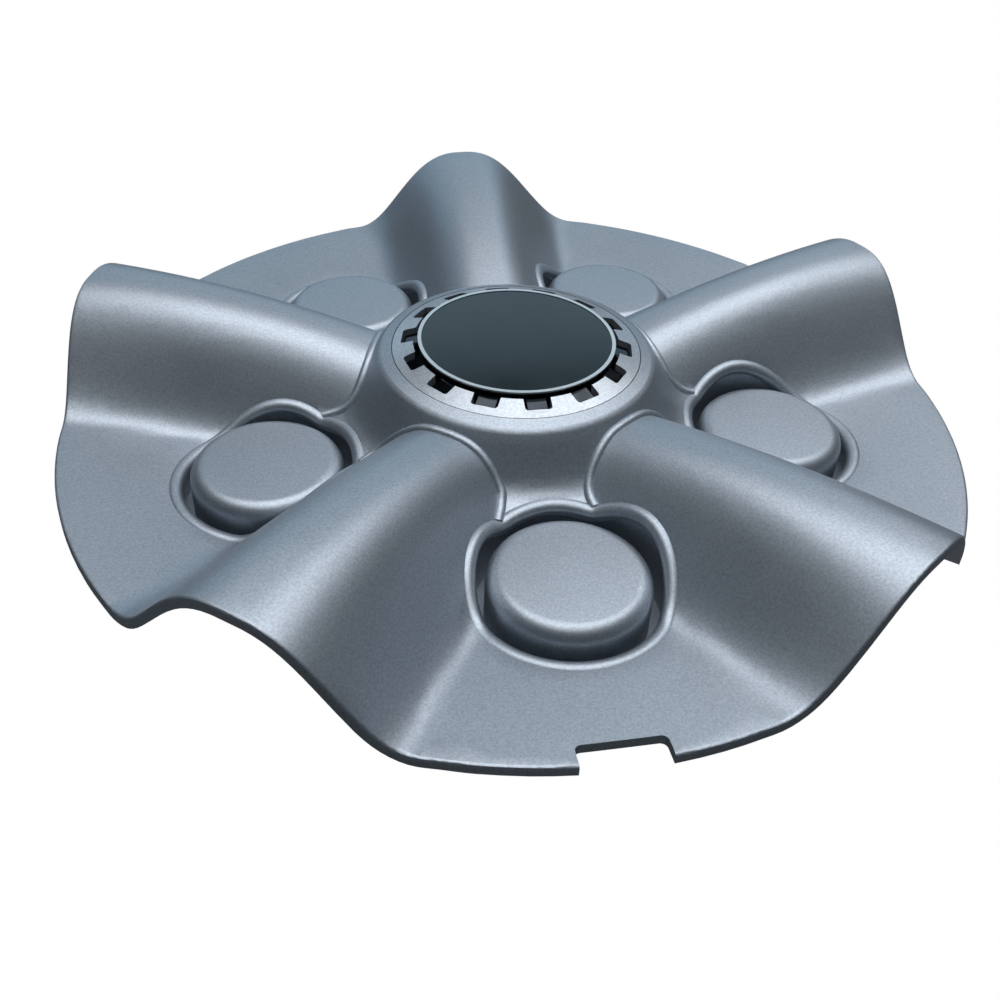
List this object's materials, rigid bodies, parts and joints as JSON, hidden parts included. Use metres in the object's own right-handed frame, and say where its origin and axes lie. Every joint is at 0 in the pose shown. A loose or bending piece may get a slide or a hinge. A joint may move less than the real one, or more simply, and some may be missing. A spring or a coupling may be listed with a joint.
{
  "type": "wheel center cap",
  "caption": "Round moulded wheel center cap with wave-shaped ridges, round lug covers in recessed moats, a conical hub with a toothed badge ring and a plain gloss disc, and snap legs behind.",
  "frame": {"origin": "on the wheel axis, in the plane of the rim's seating edge in the valleys between the waves", "axes": "+Z points outward from the wheel along its axis; -Y points to the pry notch in the rim"},
  "size_m": [0.195, 0.1947, 0.0427],
  "materials": {
    "shell_paint": "satin silver-grey metallic paint on moulded plastic",
    "ring_paint": "satin silver paint on moulded plastic",
    "badge_chrome": "bright dark chrome plating",
    "badge_black": "smooth gloss black"
  },
  "bodies": {
    "root": {"cap_shell": "shell_paint", "badge_ring": "ring_paint", "badge_base": "badge_chrome", "badge_disc": "badge_black"}
  },
  "joints": []
}
